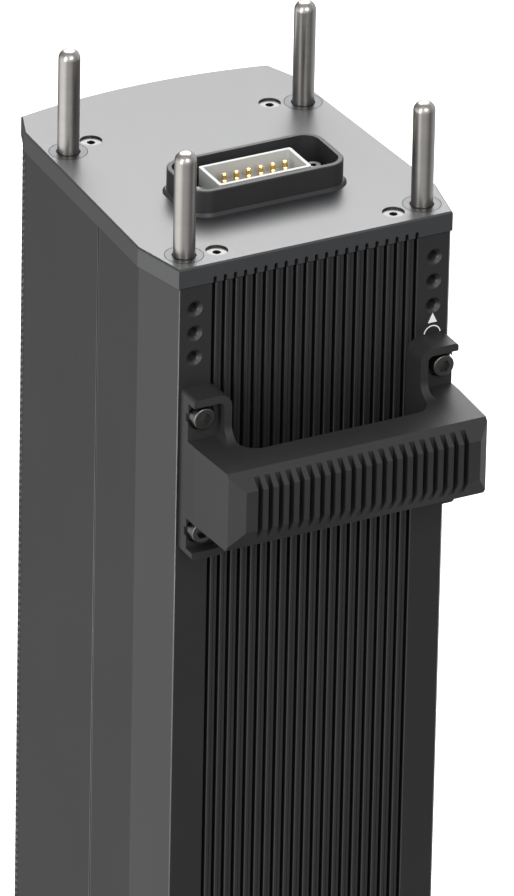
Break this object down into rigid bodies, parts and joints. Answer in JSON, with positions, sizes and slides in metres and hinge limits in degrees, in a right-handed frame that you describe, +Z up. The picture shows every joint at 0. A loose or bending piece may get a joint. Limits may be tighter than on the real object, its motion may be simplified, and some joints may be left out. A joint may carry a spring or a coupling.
{
  "type": "stackable battery column module",
  "caption": "Tall dark column module with a finned back, bolted carry handle, stacking pins and a collared plug connector on top, and a convex perforated front.",
  "frame": {"origin": "centre of the four stacking sockets, on the bottom face", "axes": "+Z up along the column, -Y out of the finned side that carries the handle, +Y out of the convex perforated side, +X to the right seen from the handle"},
  "size_m": [0.1418, 0.2135, 0.7682],
  "materials": {
    "black_anodised": "fine satin anodised, near black",
    "black_grille": "matt powder coat",
    "filter_foam": "open felt",
    "cap_satin": "fine satin dark grey",
    "black_rubber": "matt",
    "black_steel": "black oxide",
    "bush_steel": "turned, dark",
    "stainless": "ground and polished",
    "black_nylon": "glass filled, fine grain",
    "white_plastic": "moulded, pale grey white",
    "gold": "gold plated",
    "zinc_steel": "zinc plated",
    "grey_silicone": "soft matt",
    "cell_can": "drawn aluminium",
    "copper": "bare copper",
    "insulator_sheet": "glass fibre sheet",
    "circuit_board": "green solder mask",
    "chip_black": "moulded epoxy",
    "capacitor_sleeve": "dark blue sleeve",
    "red_insulation": "silicone insulation"
  },
  "bodies": {
    "housing": {"rear_extrusion": "black_anodised", "side_panel_left": "black_anodised", "side_panel_right": "black_anodised", "front_grille": "black_grille", "front_filter": "filter_foam", "top_cap": "cap_satin", "bottom_cap": "cap_satin", "top_gasket": "black_rubber", "bottom_gasket": "black_rubber", "top_cap_screws": "black_steel", "bottom_cap_screws": "black_steel", "pin_bushes": "bush_steel", "socket_bushes": "bush_steel", "carry_handle": "black_nylon", "handle_screws": "black_steel", "connector_collar": "black_nylon", "header_float_screws": "zinc_steel", "bottom_socket": "white_plastic", "socket_contacts": "gold", "socket_screws": "zinc_steel", "thermal_pad": "grey_silicone", "cells_layer_1": "cell_can", "cells_layer_2": "cell_can", "cells_layer_3": "cell_can", "cells_layer_4": "cell_can", "cell_terminals": "cell_can", "busbars": "copper", "terminal_nuts": "zinc_steel", "cell_trays": "black_nylon", "cell_spacers": "insulator_sheet", "end_plates": "cell_can", "end_plate_screws": "zinc_steel", "tie_rods": "zinc_steel", "tie_rod_nuts": "zinc_steel", "electronics_panel": "insulator_sheet", "bms_board": "circuit_board", "board_screws": "zinc_steel", "switching_transistors": "chip_black", "board_capacitors": "capacitor_sleeve", "board_chips": "chip_black", "board_sockets": "white_plastic", "current_shunt": "copper", "fuse_holder": "insulator_sheet", "main_fuse": "white_plastic", "power_leads": "red_insulation", "signal_harness": "black_rubber"},
    "pin_1": {"stack_pin_1": "stainless"},
    "pin_2": {"stack_pin_2": "stainless"},
    "pin_3": {"stack_pin_3": "stainless"},
    "pin_4": {"stack_pin_4": "stainless"},
    "header": {"connector_header": "white_plastic", "contact_pins": "gold"}
  },
  "joints": [
    {"name": "pin_1_lift", "type": "slide", "parent": "housing", "child": "pin_1", "axis": [0, 0, 1], "range_m": [0, 0.045]},
    {"name": "pin_2_lift", "type": "slide", "parent": "housing", "child": "pin_2", "axis": [0, 0, 1], "range_m": [0, 0.045]},
    {"name": "pin_3_lift", "type": "slide", "parent": "housing", "child": "pin_3", "axis": [0, 0, 1], "range_m": [0, 0.045]},
    {"name": "pin_4_lift", "type": "slide", "parent": "housing", "child": "pin_4", "axis": [0, 0, 1], "range_m": [0, 0.045]},
    {"name": "header_float", "type": "slide", "parent": "housing", "child": "header", "axis": [1, 0, 0], "range_m": [-0.0008, 0.0008]}
  ]
}
